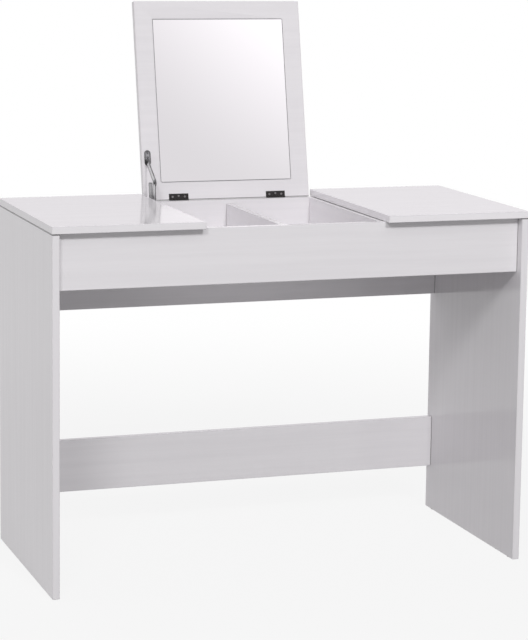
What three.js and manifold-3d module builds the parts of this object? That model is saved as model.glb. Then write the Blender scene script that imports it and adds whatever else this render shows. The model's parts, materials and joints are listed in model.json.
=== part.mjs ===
// A dressing table in laminated board. Two side panels carry two fixed tops, and the opening between
// the tops is closed by a flip-up lid with a mirror let into its lower face. The lid turns on two small
// butt hinges and is held by a jointed metal stay. It is drawn open, as it stands in use.
// Units are millimetres. X runs to the right, Y to the back and Z up. The origin is on the ground, under
// the middle of the outline of the table and its open lid.

import * as THREE from 'three';
import Module from 'manifold-3d';
import { mergeVertices } from 'three/addons/utils/BufferGeometryUtils.js';
import { ConvexGeometry } from 'three/addons/geometries/ConvexGeometry.js';

const wasm = await Module();
wasm.setup();

// Table
const tableWidth = 1020;
const tableDepth = 470;
const tableHeight = 750;
const board = 15;
const edgeEase = 0.8;
const openingWidth = 392;
const ledge = 10;

// Boards under the tops
const apronHeight = 115;
const apronRecess = 20;
const rearHeight = 230;
const rearInset = 10;
const stretcherHeight = 115;
const stretcherRise = 103;
const dividerDrop = 9;

// Glides under the side panels
const glideHeight = 2;
const glideRadius = 6;
const glideStemRadius = 2;
const glideStemLength = 14;
const glideInset = 30;

// Lid and mirror
const lidBoard = 15;
const lidSideGap = 5;
const lidFrontGap = 2;
const lidClosedGap = 0.6;
const lidLean = THREE.MathUtils.degToRad(12);
const glassThickness = 3;
const glassGap = 1.2;
const padThickness = 0.8;
const padInset = 12;
const mirrorSideMargin = 41;
const mirrorTopMargin = 40.5;
const mirrorFootMargin = 40;
const mirrorCorner = 3;

// Butt hinges
const hingeLength = 44;
const hingeInset = 79;
const knuckleRadius = 2.5;
const knuckleCount = 3;
const pinRadius = 1.1;
const pinEnd = 0.6;
const leafThickness = 1.2;
const leafWidth = 11;
const hingeScrewPitch = 14;
const hingeScrewStagger = 2;

// Countersunk screws
const headRadius = 2.4;
const headHeight = 1;
const shankRadius = 1.3;
const hingeScrewLength = 10;
const crossWidth = 0.7;
const crossLength = 2.6;
const crossDepth = 0.6;

// Lid stay
const strapThickness = 1.5;
const strapWidth = 15;
const strapGap = 0.3;
const pivotAlong = 84;
const pivotProud = 10;
const stayReach = 60;
const stayDrop = 39;
const armReach = 42.5;
const armWidth = 25;
const armHead = 85;
const armBend = 60;
const armFoot = 28;
const armFootWidth = 14;
const rivetRadius = 2;
const rivetHeadRadius = 3.6;
const rivetHeadHeight = 1;
const caseBracketLength = 38;
const caseBracketHeight = 34;
const caseBracketFore = 10;
const bracketCorner = 3;
const caseScrewInset = 6;
const lidBracketWidth = 14;
const lidBracketLength = 34;
const lugLength = 15;
const lidScrewInset = 5;
const lidScrewPitch = 11;
const stayScrewLength = 9;

// Cam fittings
const camRadius = 7.5;
const camFloor = 2.5;
const camSetback = 34;
const camCrossWidth = 2;
const camCrossLength = 8;
const camCrossDepth = 3;
const topCamInset = 90;
const rearCamInset = 50;

// Clearances
const fitGap = 0.3;
const overrun = 5;

// Facets of round work
const roundSides = 24;
const knuckleSides = 16;
const smallSides = 12;
const arcSteps = 6;
const cornerSteps = 3;

// Places that several pieces share
const panelTop = tableHeight - board;
const innerHalf = tableWidth / 2 - board;
const openingHalf = openingWidth / 2;
const topWidth = tableWidth / 2 - openingHalf;
const partitionFace = openingHalf - ledge;
const apronFoot = panelTop - apronHeight;
const rearFoot = panelTop - rearHeight;
const heel = knuckleRadius + fitGap;
const lidFace = lidClosedGap / 2;
const lidWidth = openingWidth - 2 * lidSideGap;
const lidLength = tableDepth - apronRecess - rearInset - lidFrontGap;
const lidReach = lidFace - rearInset
  + (lidFace + lidBoard) * Math.cos(lidLean)
  + (lidFace + lidLength - edgeEase) * Math.sin(lidLean);
const frontY = -(tableDepth + lidReach) / 2;
const backY = frontY + tableDepth;
const apronFront = frontY + apronRecess;
const apronBack = apronFront + board;
const rearBack = backY - rearInset;
const rearFront = rearBack - board;
const pivotY = rearBack + lidFace;
const pivotZ = panelTop + lidFace;
const hingeOffset = lidWidth / 2 - hingeInset;

// Finishes
const laminate = { color: 0xe9e8ea, roughness: 0.32, metalness: 0 };
const mirrorSilver = { color: 0xe6eaec, roughness: 0.03, metalness: 1 };
const darkSteel = { color: 0x4a484a, roughness: 0.4, metalness: 0.9 };
const brightSteel = { color: 0xb9babc, roughness: 0.3, metalness: 1 };
const castZinc = { color: 0x9c9da0, roughness: 0.45, metalness: 0.9 };
const palePlastic = { color: 0xd8d7d3, roughness: 0.5, metalness: 0 };
const foam = { color: 0x3a3a3c, roughness: 0.9, metalness: 0 };

const table = new THREE.Group();
const lid = new THREE.Group();
lid.position.set(0, pivotY, pivotZ);
lid.rotation.x = -lidLean;
table.add(lid);

// A closed three.js geometry as a solid that can be joined and cut.
// Triangles that meet at a pole are dropped.
function toSolid(geometry) {
  const loose = geometry.index ? geometry.toNonIndexed() : geometry;
  const bare = new THREE.BufferGeometry();
  bare.setAttribute('position', loose.getAttribute('position').clone());
  const merged = mergeVertices(bare);
  const corners = merged.index.array;
  const triangles = [];
  for (let i = 0; i < corners.length; i += 3) {
    const [a, b, c] = corners.slice(i, i + 3);
    if (a !== b && b !== c && c !== a) triangles.push(a, b, c);
  }
  const vertProperties = merged.getAttribute('position').array;
  const triVerts = Uint32Array.from(triangles);
  return new wasm.Manifold(new wasm.Mesh({ numProp: 3, vertProperties, triVerts }));
}

function toGeometry(solid) {
  const mesh = solid.getMesh();
  const geometry = new THREE.BufferGeometry();
  geometry.setAttribute('position', new THREE.BufferAttribute(mesh.vertProperties, 3));
  geometry.setIndex(new THREE.BufferAttribute(mesh.triVerts, 1));
  const loose = geometry.toNonIndexed();
  loose.computeVertexNormals();
  return loose;
}

function join(first, ...others) {
  return toGeometry(others.reduce((solid, other) => solid.add(toSolid(other)), toSolid(first)));
}

function cut(base, cutters) {
  if (cutters.length === 0) return base;
  return toGeometry(cutters.reduce((solid, cutter) => solid.subtract(toSolid(cutter)), toSolid(base)));
}

function addPiece(parent, name, geometry, finish, place = [0, 0, 0]) {
  const mesh = new THREE.Mesh(geometry, new THREE.MeshStandardMaterial(finish));
  mesh.name = name;
  mesh.position.set(...place);
  parent.add(mesh);
  return mesh;
}

// A box whose twelve edges are eased by a small flat, as on a board with trimmed edging.
function easedBox(width, depth, height) {
  const half = [width / 2, depth / 2, height / 2];
  const points = [];
  for (const x of [-1, 1]) {
    for (const y of [-1, 1]) {
      for (const z of [-1, 1]) {
        for (let flat = 0; flat < 3; flat += 1) {
          const reach = half.map((size, axis) => (axis === flat ? size : size - edgeEase));
          points.push(new THREE.Vector3(x * reach[0], y * reach[1], z * reach[2]));
        }
      }
    }
  }
  return new ConvexGeometry(points);
}

// A board is given by its lowest and highest corners. Cutters are drawn where the board stands.
function addBoard(parent, name, low, high, cutters = []) {
  const size = high.map((value, axis) => value - low[axis]);
  const centre = high.map((value, axis) => (value + low[axis]) / 2);
  const placed = cutters.map((cutter) => cutter.clone().translate(-centre[0], -centre[1], -centre[2]));
  addPiece(parent, name, cut(easedBox(...size), placed), laminate, centre);
}

function boxBetween(low, high) {
  const size = high.map((value, axis) => value - low[axis]);
  const centre = high.map((value, axis) => (value + low[axis]) / 2);
  return new THREE.BoxGeometry(...size).translate(...centre);
}

// A turned solid about the Z axis, from [radius, height] points that start and end on the axis, lowest first.
function turnedSolid(profile, sides) {
  const points = profile.map(([radius, height]) => new THREE.Vector2(radius, height));
  return new THREE.LatheGeometry(points, sides).rotateX(Math.PI / 2);
}

// Turns work that was drawn facing +Z so that it faces another way, and puts it in its place.
function facing(geometry, direction, place) {
  const turn = new THREE.Quaternion().setFromUnitVectors(
    new THREE.Vector3(0, 0, 1), new THREE.Vector3(...direction));
  return geometry.applyQuaternion(turn).translate(...place);
}

function addFacing(parent, name, geometry, finish, direction, place) {
  addPiece(parent, name, facing(geometry, direction, [0, 0, 0]), finish, place);
}

// Round bar along X between two places.
function barAlongX(radius, from, to, y, z, sides) {
  return new THREE.CylinderGeometry(radius, radius, to - from, sides)
    .rotateZ(Math.PI / 2).translate((from + to) / 2, y, z);
}

function crossRecess(width, length, depth) {
  return [[length, width], [width, length]].map(([x, y]) => new THREE.BoxGeometry(x, y, depth * 2));
}

// A countersunk screw, head up, with the top of its head at zero.
function countersunkScrew(length) {
  const body = turnedSolid([
    [0, -length], [shankRadius, shankRadius - length], [shankRadius, -headHeight], [headRadius, 0], [0, 0],
  ], smallSides);
  return cut(body, crossRecess(crossWidth, crossLength, crossDepth));
}

// The hole that such a screw goes through and into, open above its head.
function screwSocket(length) {
  return turnedSolid([
    [0, -length - fitGap], [shankRadius + fitGap, -length - fitGap], [shankRadius + fitGap, -headHeight],
    [headRadius + fitGap, 0], [headRadius + fitGap, overrun], [0, overrun],
  ], smallSides);
}

// Cam fittings: a round cam in a blind bore, its cross recess facing out of the board.
const camDepth = board - camFloor;

function camBore(direction, place) {
  const bore = turnedSolid([
    [0, -camDepth], [camRadius + fitGap, -camDepth], [camRadius + fitGap, overrun], [0, overrun],
  ], roundSides);
  return facing(bore, direction, place);
}

function addCam(name, direction, place) {
  const body = turnedSolid([
    [0, fitGap - camDepth], [camRadius, fitGap - camDepth], [camRadius, -edgeEase],
    [camRadius - edgeEase, 0], [0, 0],
  ], roundSides);
  const cam = cut(body, crossRecess(camCrossWidth, camCrossLength, camCrossDepth));
  addFacing(table, name, cam, castZinc, direction, place);
}

// Glides: a low round foot with a stem that is driven into the end of the side panel.
function addGlide(name, x, y) {
  const foot = turnedSolid([
    [0, 0], [glideRadius - edgeEase, 0], [glideRadius, edgeEase], [glideRadius, glideHeight],
    [glideStemRadius, glideHeight], [glideStemRadius, glideHeight + glideStemLength],
    [0, glideHeight + glideStemLength + glideStemRadius],
  ], knuckleSides);
  addPiece(table, name, foot, palePlastic, [x, y, 0]);
}

function glideSocket(x, y) {
  const radius = glideStemRadius + fitGap;
  const depth = glideStemLength + glideStemRadius + fitGap;
  return turnedSolid([
    [0, -overrun], [radius, -overrun], [radius, depth], [0, depth],
  ], smallSides).translate(x, y, glideHeight);
}

// Side panels
const glideYs = [frontY + glideInset, backY - glideInset];
const topCamYs = [frontY + topCamInset, backY - topCamInset];
const topCamZ = panelTop - camSetback;

for (const [side, hand] of [['left', -1], ['right', 1]]) {
  const inner = hand * innerHalf;
  const outer = hand * (innerHalf + board);
  const middle = (inner + outer) / 2;
  const bores = topCamYs.map((y) => camBore([-hand, 0, 0], [inner, y, topCamZ]));
  const sockets = glideYs.map((y) => glideSocket(middle, y));
  addBoard(table, `${side}_side_panel`,
    [Math.min(inner, outer), frontY, glideHeight],
    [Math.max(inner, outer), backY, panelTop],
    [...bores, ...sockets]);
  ['front', 'rear'].forEach((end, i) => {
    addGlide(`${side}_${end}_glide`, middle, glideYs[i]);
    addCam(`${side}_${end}_top_cam`, [-hand, 0, 0], [inner, topCamYs[i], topCamZ]);
  });
}

// Boards between the side panels. Their cams face inwards behind the apron, and to the back elsewhere.
const camX = innerHalf - camSetback;
const apronCamZ = (panelTop + apronFoot) / 2;
const stretcherCamZ = stretcherRise + stretcherHeight / 2;
const rearCamZs = [panelTop - rearCamInset, rearFoot + rearCamInset];

addBoard(table, 'front_apron',
  [-innerHalf, apronFront, apronFoot], [innerHalf, apronBack, panelTop],
  [-1, 1].map((hand) => camBore([0, 1, 0], [hand * camX, apronBack, apronCamZ])));

addBoard(table, 'rear_stretcher',
  [-innerHalf, rearFront, stretcherRise], [innerHalf, rearBack, stretcherRise + stretcherHeight],
  [-1, 1].map((hand) => camBore([0, 1, 0], [hand * camX, rearBack, stretcherCamZ])));

const rearCuts = [];
for (const [side, hand] of [['left', -1], ['right', 1]]) {
  addCam(`${side}_apron_cam`, [0, 1, 0], [hand * camX, apronBack, apronCamZ]);
  addCam(`${side}_stretcher_cam`, [0, 1, 0], [hand * camX, rearBack, stretcherCamZ]);
  ['upper', 'lower'].forEach((level, i) => {
    const place = [hand * camX, rearBack, rearCamZs[i]];
    addCam(`${side}_${level}_rear_cam`, [0, 1, 0], place);
    rearCuts.push(camBore([0, 1, 0], place));
  });
}

// Butt hinges. One leaf is let into the back of the rear panel and one into the mirror side of the lid.
// The pin lies on the corner between them, in a notch in each board, so the open lid stands close on the
// rear panel. A leaf is drawn with its pin on the X axis. The plate runs away from the heel along +Y,
// half the closed gap below the pin's axis, and its knuckles wrap the pin.
const knuckleLength = hingeLength / knuckleCount;
const knuckles = Array.from({ length: knuckleCount }, (_, k) => k);
const frameKnuckles = knuckles.filter((k) => k % 2 === 0);
const lidKnuckles = knuckles.filter((k) => k % 2 === 1);

function hingeLeaf(own) {
  const plate = boxBetween(
    [-hingeLength / 2, heel, -lidFace - leafThickness], [hingeLength / 2, heel + leafWidth, -lidFace]);
  const wraps = own.flatMap((k) => {
    const from = -hingeLength / 2 + k * knuckleLength + fitGap / 2;
    const to = from + knuckleLength - fitGap;
    return [
      boxBetween([from, 0, -lidFace - leafThickness], [to, heel + fitGap, -lidFace]),
      barAlongX(knuckleRadius, from, to, 0, 0, knuckleSides),
    ];
  });
  const bore = barAlongX(pinRadius + fitGap, -hingeLength, hingeLength, 0, 0, smallSides);
  const sockets = leafScrewPlaces().map(([x, along]) => screwSocket(hingeScrewLength)
    .translate(x, along, -lidFace));
  return cut(join(plate, ...wraps), [bore, ...sockets]);
}

function leafScrewPlaces() {
  return [-1, 0, 1].map((step) => [
    step * hingeScrewPitch,
    heel + leafWidth / 2 + (step === 0 ? hingeScrewStagger : -hingeScrewStagger) / 2,
  ]);
}

// A leaf drawn along +Y, face up, is turned to its seat: down the rear panel, with its face to the back,
// and up the lid, with its face to the front.
function onRearPanel(geometry, x) {
  return geometry.rotateX(-Math.PI / 2).translate(x, 0, 0);
}

function onLid(geometry, x) {
  return geometry.rotateX(Math.PI / 2).translate(x, 0, 0);
}

const lidCuts = [];
for (const [side, hand] of [['left', -1], ['right', 1]]) {
  const x = hand * hingeOffset;
  const leafEnd = hingeLength / 2 + fitGap;
  const notchEnd = leafEnd + pinEnd;
  const leafFloor = -lidFace - leafThickness - fitGap;
  const seats = [
    boxBetween([-leafEnd, 0, leafFloor], [leafEnd, heel + leafWidth + fitGap, overrun]),
    boxBetween([-notchEnd, -overrun, -heel], [notchEnd, heel, overrun]),
  ];
  const frameLeaf = onRearPanel(hingeLeaf(frameKnuckles), x);
  const lidLeaf = onLid(hingeLeaf(lidKnuckles), x);
  const pin = barAlongX(pinRadius, -hingeLength / 2 - pinEnd, hingeLength / 2 + pinEnd, 0, 0, smallSides);
  addPiece(table, `${side}_hinge_frame_leaf`, frameLeaf, darkSteel, [0, pivotY, pivotZ]);
  addPiece(table, `${side}_hinge_pin`, pin, brightSteel, [x, pivotY, pivotZ]);
  addPiece(lid, `${side}_hinge_lid_leaf`, lidLeaf, darkSteel);
  for (const seat of seats) {
    rearCuts.push(onRearPanel(seat.clone(), x).translate(0, pivotY, pivotZ));
    lidCuts.push(onLid(seat.clone(), x));
  }
  leafScrewPlaces().forEach(([step, along], i) => {
    const framePlace = [x + step, rearBack, pivotZ - along];
    const lidPlace = [x + step, lidFace, along];
    addFacing(table, `${side}_frame_leaf_screw_${i + 1}`, countersunkScrew(hingeScrewLength),
      brightSteel, [0, 1, 0], framePlace);
    addFacing(lid, `${side}_lid_leaf_screw_${i + 1}`, countersunkScrew(hingeScrewLength),
      brightSteel, [0, -1, 0], lidPlace);
    rearCuts.push(facing(screwSocket(hingeScrewLength), [0, 1, 0], framePlace));
    lidCuts.push(facing(screwSocket(hingeScrewLength), [0, -1, 0], lidPlace));
  });
}

addBoard(table, 'rear_panel',
  [-innerHalf, rearFront, rearFoot], [innerHalf, rearBack, panelTop], rearCuts);

// Fixed tops, and the well under the lid
for (const [side, hand] of [['left', -1], ['right', 1]]) {
  const edge = hand * openingHalf;
  const outer = hand * (openingHalf + topWidth);
  addBoard(table, `${side}_top`,
    [Math.min(edge, outer), frontY, panelTop], [Math.max(edge, outer), backY, tableHeight]);
}

addBoard(table, 'right_partition',
  [partitionFace, apronBack, apronFoot], [partitionFace + board, rearFront, panelTop]);
addBoard(table, 'well_floor',
  [-partitionFace, apronBack, apronFoot], [partitionFace, rearFront, apronFoot + board]);
addBoard(table, 'centre_divider',
  [-board / 2, apronBack, apronFoot + board], [board / 2, rearFront, panelTop - dividerDrop]);

// Lid stay. With the lid's hinge it makes a parallelogram: the lower strap stays parallel to the line from
// the hinge pin to the lid's bracket, and the upper strap to the line from the hinge pin to the case bracket.
const casePivot = [pivotY - stayReach, pivotZ - stayDrop];
const lidPivotLocal = [lidFace - pivotProud, pivotAlong];
const lidPivot = [
  pivotY + lidPivotLocal[0] * Math.cos(lidLean) + lidPivotLocal[1] * Math.sin(lidLean),
  pivotZ - lidPivotLocal[0] * Math.sin(lidLean) + lidPivotLocal[1] * Math.cos(lidLean),
];
const elbow = [lidPivot[0] - stayReach, lidPivot[1] - stayDrop];
const caseBracketX = -partitionFace;
const lowerStrapX = caseBracketX + strapThickness + strapGap;
const upperStrapX = lowerStrapX + strapThickness + strapGap;
const lugX = upperStrapX + strapThickness + strapGap;

// An outline through [y, z] points, with every corner rounded off.
function softOutline(points, radius) {
  const shape = new THREE.Shape();
  points.forEach((point, i) => {
    const corner = new THREE.Vector2(...point);
    const before = new THREE.Vector2(...points[(i + points.length - 1) % points.length]);
    const after = new THREE.Vector2(...points[(i + 1) % points.length]);
    const start = corner.clone().add(before.sub(corner).setLength(radius));
    const end = corner.clone().add(after.sub(corner).setLength(radius));
    if (i === 0) shape.moveTo(start.x, start.y);
    else shape.lineTo(start.x, start.y);
    shape.quadraticCurveTo(corner.x, corner.y, end.x, end.y);
  });
  shape.closePath();
  return shape;
}

// A flat plate in the YZ plane, standing from x towards +X, from an outline of [y, z] points.
function plateAcrossX(shape, x, thickness) {
  return new THREE.ExtrudeGeometry(shape, { depth: thickness, bevelEnabled: false, curveSegments: arcSteps })
    .rotateY(Math.PI / 2).rotateX(Math.PI / 2).translate(x, 0, 0);
}

// A strap with round ends about its two pivots, each with a hole for a rivet.
function strap(from, to, x) {
  const run = new THREE.Vector2(to[0] - from[0], to[1] - from[1]);
  const lean = Math.atan2(run.y, run.x);
  const radius = strapWidth / 2;
  const shape = new THREE.Shape();
  shape.absarc(from[0], from[1], radius, lean + Math.PI / 2, lean + Math.PI * 1.5);
  shape.absarc(to[0], to[1], radius, lean - Math.PI / 2, lean + Math.PI / 2);
  shape.closePath();
  for (const [y, z] of [from, to]) {
    const hole = new THREE.Path();
    hole.absarc(y, z, rivetRadius + fitGap, 0, Math.PI * 2, true);
    shape.holes.push(hole);
  }
  return plateAcrossX(shape, x, strapThickness);
}

// A rivet along X: a shank with a low head at each end.
function rivet(from, to) {
  const dome = rivetHeadHeight / 2;
  return turnedSolid([
    [0, from - rivetHeadHeight], [rivetHeadRadius - dome, from - rivetHeadHeight],
    [rivetHeadRadius, from - dome], [rivetHeadRadius, from],
    [rivetRadius, from], [rivetRadius, to],
    [rivetHeadRadius, to], [rivetHeadRadius, to + dome],
    [rivetHeadRadius - dome, to + rivetHeadHeight], [0, to + rivetHeadHeight],
  ], smallSides).rotateY(Math.PI / 2);
}

function roundedPlate(low, high, radius) {
  const shape = new THREE.Shape();
  shape.absarc(high[0] - radius, low[1] + radius, radius, -Math.PI / 2, 0);
  shape.absarc(high[0] - radius, high[1] - radius, radius, 0, Math.PI / 2);
  shape.absarc(low[0] + radius, high[1] - radius, radius, Math.PI / 2, Math.PI);
  shape.absarc(low[0] + radius, low[1] + radius, radius, Math.PI, Math.PI * 1.5);
  shape.closePath();
  return shape;
}

// Case bracket on the left partition
const bracketLow = [casePivot[0] - caseBracketFore, casePivot[1] - caseBracketHeight / 2];
const bracketHigh = [bracketLow[0] + caseBracketLength, casePivot[1] + caseBracketHeight / 2];
const caseScrewY = bracketHigh[0] - caseScrewInset;
const caseScrewPlaces = [bracketLow[1] + caseScrewInset, bracketHigh[1] - caseScrewInset]
  .map((z) => [caseBracketX + strapThickness, caseScrewY, z]);
const caseSockets = caseScrewPlaces.map((place) => facing(screwSocket(stayScrewLength), [1, 0, 0], place));
const caseRivetTail = barAlongX(rivetRadius + fitGap, caseBracketX - overrun, caseBracketX + overrun,
  casePivot[0], casePivot[1], smallSides);
const caseTailSocket = barAlongX(rivetHeadRadius + fitGap, caseBracketX - rivetHeadHeight - fitGap,
  caseBracketX + overrun, casePivot[0], casePivot[1], smallSides);

addBoard(table, 'left_partition',
  [-partitionFace - board, apronBack, apronFoot], [-partitionFace, rearFront, panelTop],
  [...caseSockets, caseTailSocket]);
addPiece(table, 'stay_case_bracket',
  cut(plateAcrossX(roundedPlate(bracketLow, bracketHigh, bracketCorner), caseBracketX, strapThickness),
    [...caseSockets, caseRivetTail]), brightSteel);
caseScrewPlaces.forEach((place, i) => {
  addFacing(table, `stay_case_screw_${i + 1}`, countersunkScrew(stayScrewLength),
    brightSteel, [1, 0, 0], place);
});
addPiece(table, 'stay_case_rivet', rivet(caseBracketX, upperStrapX), darkSteel,
  [0, casePivot[0], casePivot[1]]);

// Straps and elbow. The lower strap has an arm that rises behind it, beside the foot of the open lid.
const strapRun = new THREE.Vector2(elbow[0] - casePivot[0], elbow[1] - casePivot[1]).normalize();
const armPoints = [
  [0, armFoot], [armReach - armFootWidth, armFoot], [armReach, armBend], [armReach, armHead],
  [armReach - armWidth, armHead], [armReach - armWidth, armBend], [0, armFoot + armFootWidth],
].map(([behind, along]) => [
  casePivot[0] + along * strapRun.x + behind * strapRun.y,
  casePivot[1] + along * strapRun.y - behind * strapRun.x,
]);
addPiece(table, 'stay_lower_strap', join(
  strap(casePivot, elbow, lowerStrapX),
  plateAcrossX(softOutline(armPoints, bracketCorner), lowerStrapX, strapThickness)), brightSteel);
addPiece(table, 'stay_elbow_rivet',
  rivet(lowerStrapX - strapGap / 2, upperStrapX + strapThickness + strapGap / 2),
  darkSteel, [0, elbow[0], elbow[1]]);
addPiece(table, 'stay_upper_strap', strap(elbow, lidPivot, upperStrapX), brightSteel);

// Lid bracket: a plate on the lid with a lug that stands off it and carries the upper strap
const plateBack = lidFace - fitGap;
const plateFront = plateBack - strapThickness;
const plateX = caseBracketX + 2 * strapGap;
const plateFoot = pivotAlong - lugLength / 2;
const plateHead = plateFoot + lidBracketLength;
const lidScrewX = plateX + lidBracketWidth / 2;
const lidScrewPlaces = [plateHead - lidScrewInset - lidScrewPitch, plateHead - lidScrewInset]
  .map((z) => [lidScrewX, plateFront, z]);
const lidSockets = lidScrewPlaces.map((place) => facing(screwSocket(stayScrewLength), [0, -1, 0], place));
const lug = new THREE.Shape();
lug.moveTo(plateFront + strapThickness / 2, plateFoot + lugLength);
lug.absarc(lidPivotLocal[0], pivotAlong, lugLength / 2, Math.PI / 2, Math.PI * 1.5);
lug.lineTo(plateFront + strapThickness / 2, plateFoot);
lug.closePath();
const lugHole = barAlongX(rivetRadius + fitGap, lugX - overrun, lugX + overrun,
  lidPivotLocal[0], pivotAlong, smallSides);
const lidPlate = boxBetween(
  [plateX, plateFront, plateFoot], [plateX + lidBracketWidth, plateBack, plateHead]);

addPiece(lid, 'stay_lid_bracket',
  cut(join(lidPlate, plateAcrossX(lug, lugX, strapThickness)), [...lidSockets, lugHole]), brightSteel);
lidScrewPlaces.forEach((place, i) => {
  addFacing(lid, `stay_lid_screw_${i + 1}`, countersunkScrew(stayScrewLength), darkSteel, [0, -1, 0], place);
});
addPiece(lid, 'stay_lid_rivet', rivet(upperStrapX - strapGap / 2, lugX + strapThickness + strapGap / 2),
  darkSteel, [0, lidPivotLocal[0], pivotAlong]);

// Lid, with the mirror let into its face
const glassLow = [mirrorSideMargin - lidWidth / 2, lidFace + mirrorFootMargin];
const glassHigh = [lidWidth / 2 - mirrorSideMargin, lidFace + lidLength - mirrorTopMargin];

// A plate in the lid's XZ plane, from its front face backwards.
function plateOnLid(low, high, radius, front, thickness) {
  const sweep = { depth: thickness, bevelEnabled: false, curveSegments: cornerSteps };
  return new THREE.ExtrudeGeometry(roundedPlate(low, high, radius), sweep)
    .rotateX(Math.PI / 2).translate(0, front + thickness, 0);
}

function grow(low, high, by) {
  return [low.map((value) => value - by), high.map((value) => value + by)];
}

const recessDepth = glassThickness + padThickness + 2 * fitGap;
const mirrorRecess = plateOnLid(...grow(glassLow, glassHigh, glassGap), mirrorCorner,
  lidFace - overrun, overrun + recessDepth);

addBoard(lid, 'mirror_lid',
  [-lidWidth / 2, lidFace, lidFace], [lidWidth / 2, lidFace + lidBoard, lidFace + lidLength],
  [mirrorRecess, ...lidCuts, ...lidSockets]);
addPiece(lid, 'mirror_glass',
  plateOnLid(glassLow, glassHigh, mirrorCorner, lidFace, glassThickness), mirrorSilver);
addPiece(lid, 'mirror_pad',
  plateOnLid(...grow(glassLow, glassHigh, -padInset), mirrorCorner,
    lidFace + glassThickness + fitGap, padThickness), foam);

export default table;
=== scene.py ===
# %% [markdown]
# # A white dressing table with a lift-up mirror
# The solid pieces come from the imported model, which is loaded first and stays as it is. This file adds what
# a solid model lacks: a camera and soft light, the finish of every board and fitting, and smooth small
# hardware. Loading the model first means that every later step can ask it where a piece is.

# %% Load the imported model
import json
import math

import bpy
import numpy as np
from mathutils import Matrix, Vector

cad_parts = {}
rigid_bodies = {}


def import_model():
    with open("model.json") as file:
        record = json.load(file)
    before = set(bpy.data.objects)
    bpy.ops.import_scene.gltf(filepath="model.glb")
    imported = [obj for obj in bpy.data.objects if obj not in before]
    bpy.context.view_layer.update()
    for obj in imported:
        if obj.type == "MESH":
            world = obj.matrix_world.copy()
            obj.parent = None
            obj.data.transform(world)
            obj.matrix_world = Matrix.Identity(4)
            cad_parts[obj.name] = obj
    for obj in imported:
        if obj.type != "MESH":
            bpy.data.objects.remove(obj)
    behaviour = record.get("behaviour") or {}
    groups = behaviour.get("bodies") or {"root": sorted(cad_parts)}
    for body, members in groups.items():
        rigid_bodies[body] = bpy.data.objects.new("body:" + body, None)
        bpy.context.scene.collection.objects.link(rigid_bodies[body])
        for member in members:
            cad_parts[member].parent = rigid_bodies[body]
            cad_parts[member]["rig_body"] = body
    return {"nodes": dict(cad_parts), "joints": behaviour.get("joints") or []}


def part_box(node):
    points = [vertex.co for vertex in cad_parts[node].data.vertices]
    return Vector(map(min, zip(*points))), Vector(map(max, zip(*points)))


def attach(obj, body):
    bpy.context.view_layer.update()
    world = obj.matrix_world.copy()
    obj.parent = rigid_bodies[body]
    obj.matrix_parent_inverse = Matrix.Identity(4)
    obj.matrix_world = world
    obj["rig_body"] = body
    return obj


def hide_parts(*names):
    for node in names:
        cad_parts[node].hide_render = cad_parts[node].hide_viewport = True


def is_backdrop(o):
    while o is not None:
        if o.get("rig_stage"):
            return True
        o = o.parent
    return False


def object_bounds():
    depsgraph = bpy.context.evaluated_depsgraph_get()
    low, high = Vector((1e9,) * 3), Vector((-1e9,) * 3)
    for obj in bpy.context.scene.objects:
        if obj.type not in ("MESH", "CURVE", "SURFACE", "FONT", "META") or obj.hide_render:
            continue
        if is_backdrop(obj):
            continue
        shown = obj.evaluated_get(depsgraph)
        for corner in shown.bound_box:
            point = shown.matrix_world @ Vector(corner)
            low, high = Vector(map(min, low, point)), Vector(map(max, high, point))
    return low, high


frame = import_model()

cad_low, cad_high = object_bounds()
nodes = frame["nodes"]
print("loaded", len(nodes), "pieces, overall", [round(v, 4) for v in cad_high - cad_low], "m")

# %% [markdown]
# ## Where the lid stands
# The lid rests leaning back past upright. Its own frame has X along the hinge, Y through the board and Z up
# the lid. One could type the angle in, but the joint's range already holds it: the lid closes through a
# right angle and its lean, so the lean is what the range has beyond ninety degrees.

# %% The lid's own frame
lid_joint = next(joint for joint in frame["joints"] if joint["child"] == "lid")
lean = math.radians(max(abs(limit) for limit in lid_joint["range_deg"]) - 90)
pivot = Vector(lid_joint["pos_m"])
lid_turn = Matrix.Rotation(-lean, 3, "X")


def on_lid(x, through, up):
    """A place on the lid, in its own frame, as a place in the room: turned by the lean, then moved."""
    return pivot + lid_turn @ Vector((x, through, up))


print("lid leans back", round(math.degrees(lean), 2), "degrees about", [round(v, 4) for v in pivot])

# %% [markdown]
# ## The camera
# A photograph fixes a camera by where it stands, how it is turned and how long its lens is. These numbers
# were fitted to the corners of the table. The view is a long lens from the front left, a little above the
# top, and the lens is shifted down so that the upright edges stay nearly parallel.

# %% Camera
camera_place = Vector((-1.5600, -4.5303, 1.3513))
camera_yaw, camera_pitch, camera_roll = (math.radians(a) for a in (19.278, -8.520, 0.746))
forward = Vector((math.sin(camera_yaw) * math.cos(camera_pitch),
                  math.cos(camera_yaw) * math.cos(camera_pitch), math.sin(camera_pitch)))
level = Vector((math.cos(camera_yaw), -math.sin(camera_yaw), 0))
upright = level.cross(forward)
across = math.cos(camera_roll) * level + math.sin(camera_roll) * upright
above = math.cos(camera_roll) * upright - math.sin(camera_roll) * level

camera_data = bpy.data.cameras.new("camera")
camera_data.lens = 127.64
camera_data.sensor_width = 36
camera_data.shift_y = -0.1
camera_data.clip_start, camera_data.clip_end = 0.1, 100
camera = bpy.data.objects.new("camera", camera_data)
camera.matrix_world = (Matrix.Translation(camera_place)
                       @ Matrix((across, above, -forward)).transposed().to_4x4())
bpy.context.scene.collection.objects.link(camera)
bpy.context.scene.camera = camera
bpy.context.scene.view_settings.view_transform = "Standard"
print("camera", round((camera_place - pivot).length, 3), "m from the hinge")

# %% [markdown]
# ## Small helpers for nodes
# Every material below is a graph of nodes. A few helpers keep the graphs short: one adds a node with its
# settings, one either joins a socket to another or sets its value, and the others add the node for one step
# of arithmetic.

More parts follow.
